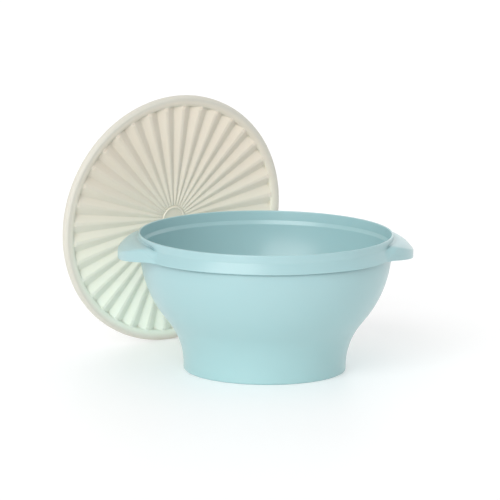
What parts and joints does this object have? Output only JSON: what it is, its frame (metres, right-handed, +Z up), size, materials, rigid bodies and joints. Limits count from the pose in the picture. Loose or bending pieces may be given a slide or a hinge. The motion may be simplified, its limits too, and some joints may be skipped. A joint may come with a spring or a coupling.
{
  "type": "chip and dip server",
  "caption": "Round waisted plastic serving bowl with an ear at each side of its rim, and a pleated press-on lid with a centre button that stands on edge behind it.",
  "frame": {"origin": "centre of the bowl's foot, on the surface that it stands on", "axes": "+Z up along the bowl's axis, +X through one ear, -Y towards the side that faces the viewer; the lid stands behind, at +Y and -X"},
  "size_m": [0.3814, 0.363, 0.283],
  "materials": {
    "bowl_plastic": "satin, slightly translucent aqua polypropylene",
    "lid_plastic": "satin, slightly translucent cream polyethylene"
  },
  "bodies": {
    "bowl": {"bowl": "bowl_plastic"},
    "lid": {"lid": "lid_plastic"}
  },
  "joints": [
    {"name": "lid_lift", "type": "slide", "parent": "bowl", "child": "lid", "axis": [0, 0, 1], "range_m": [0, 0.2]}
  ]
}
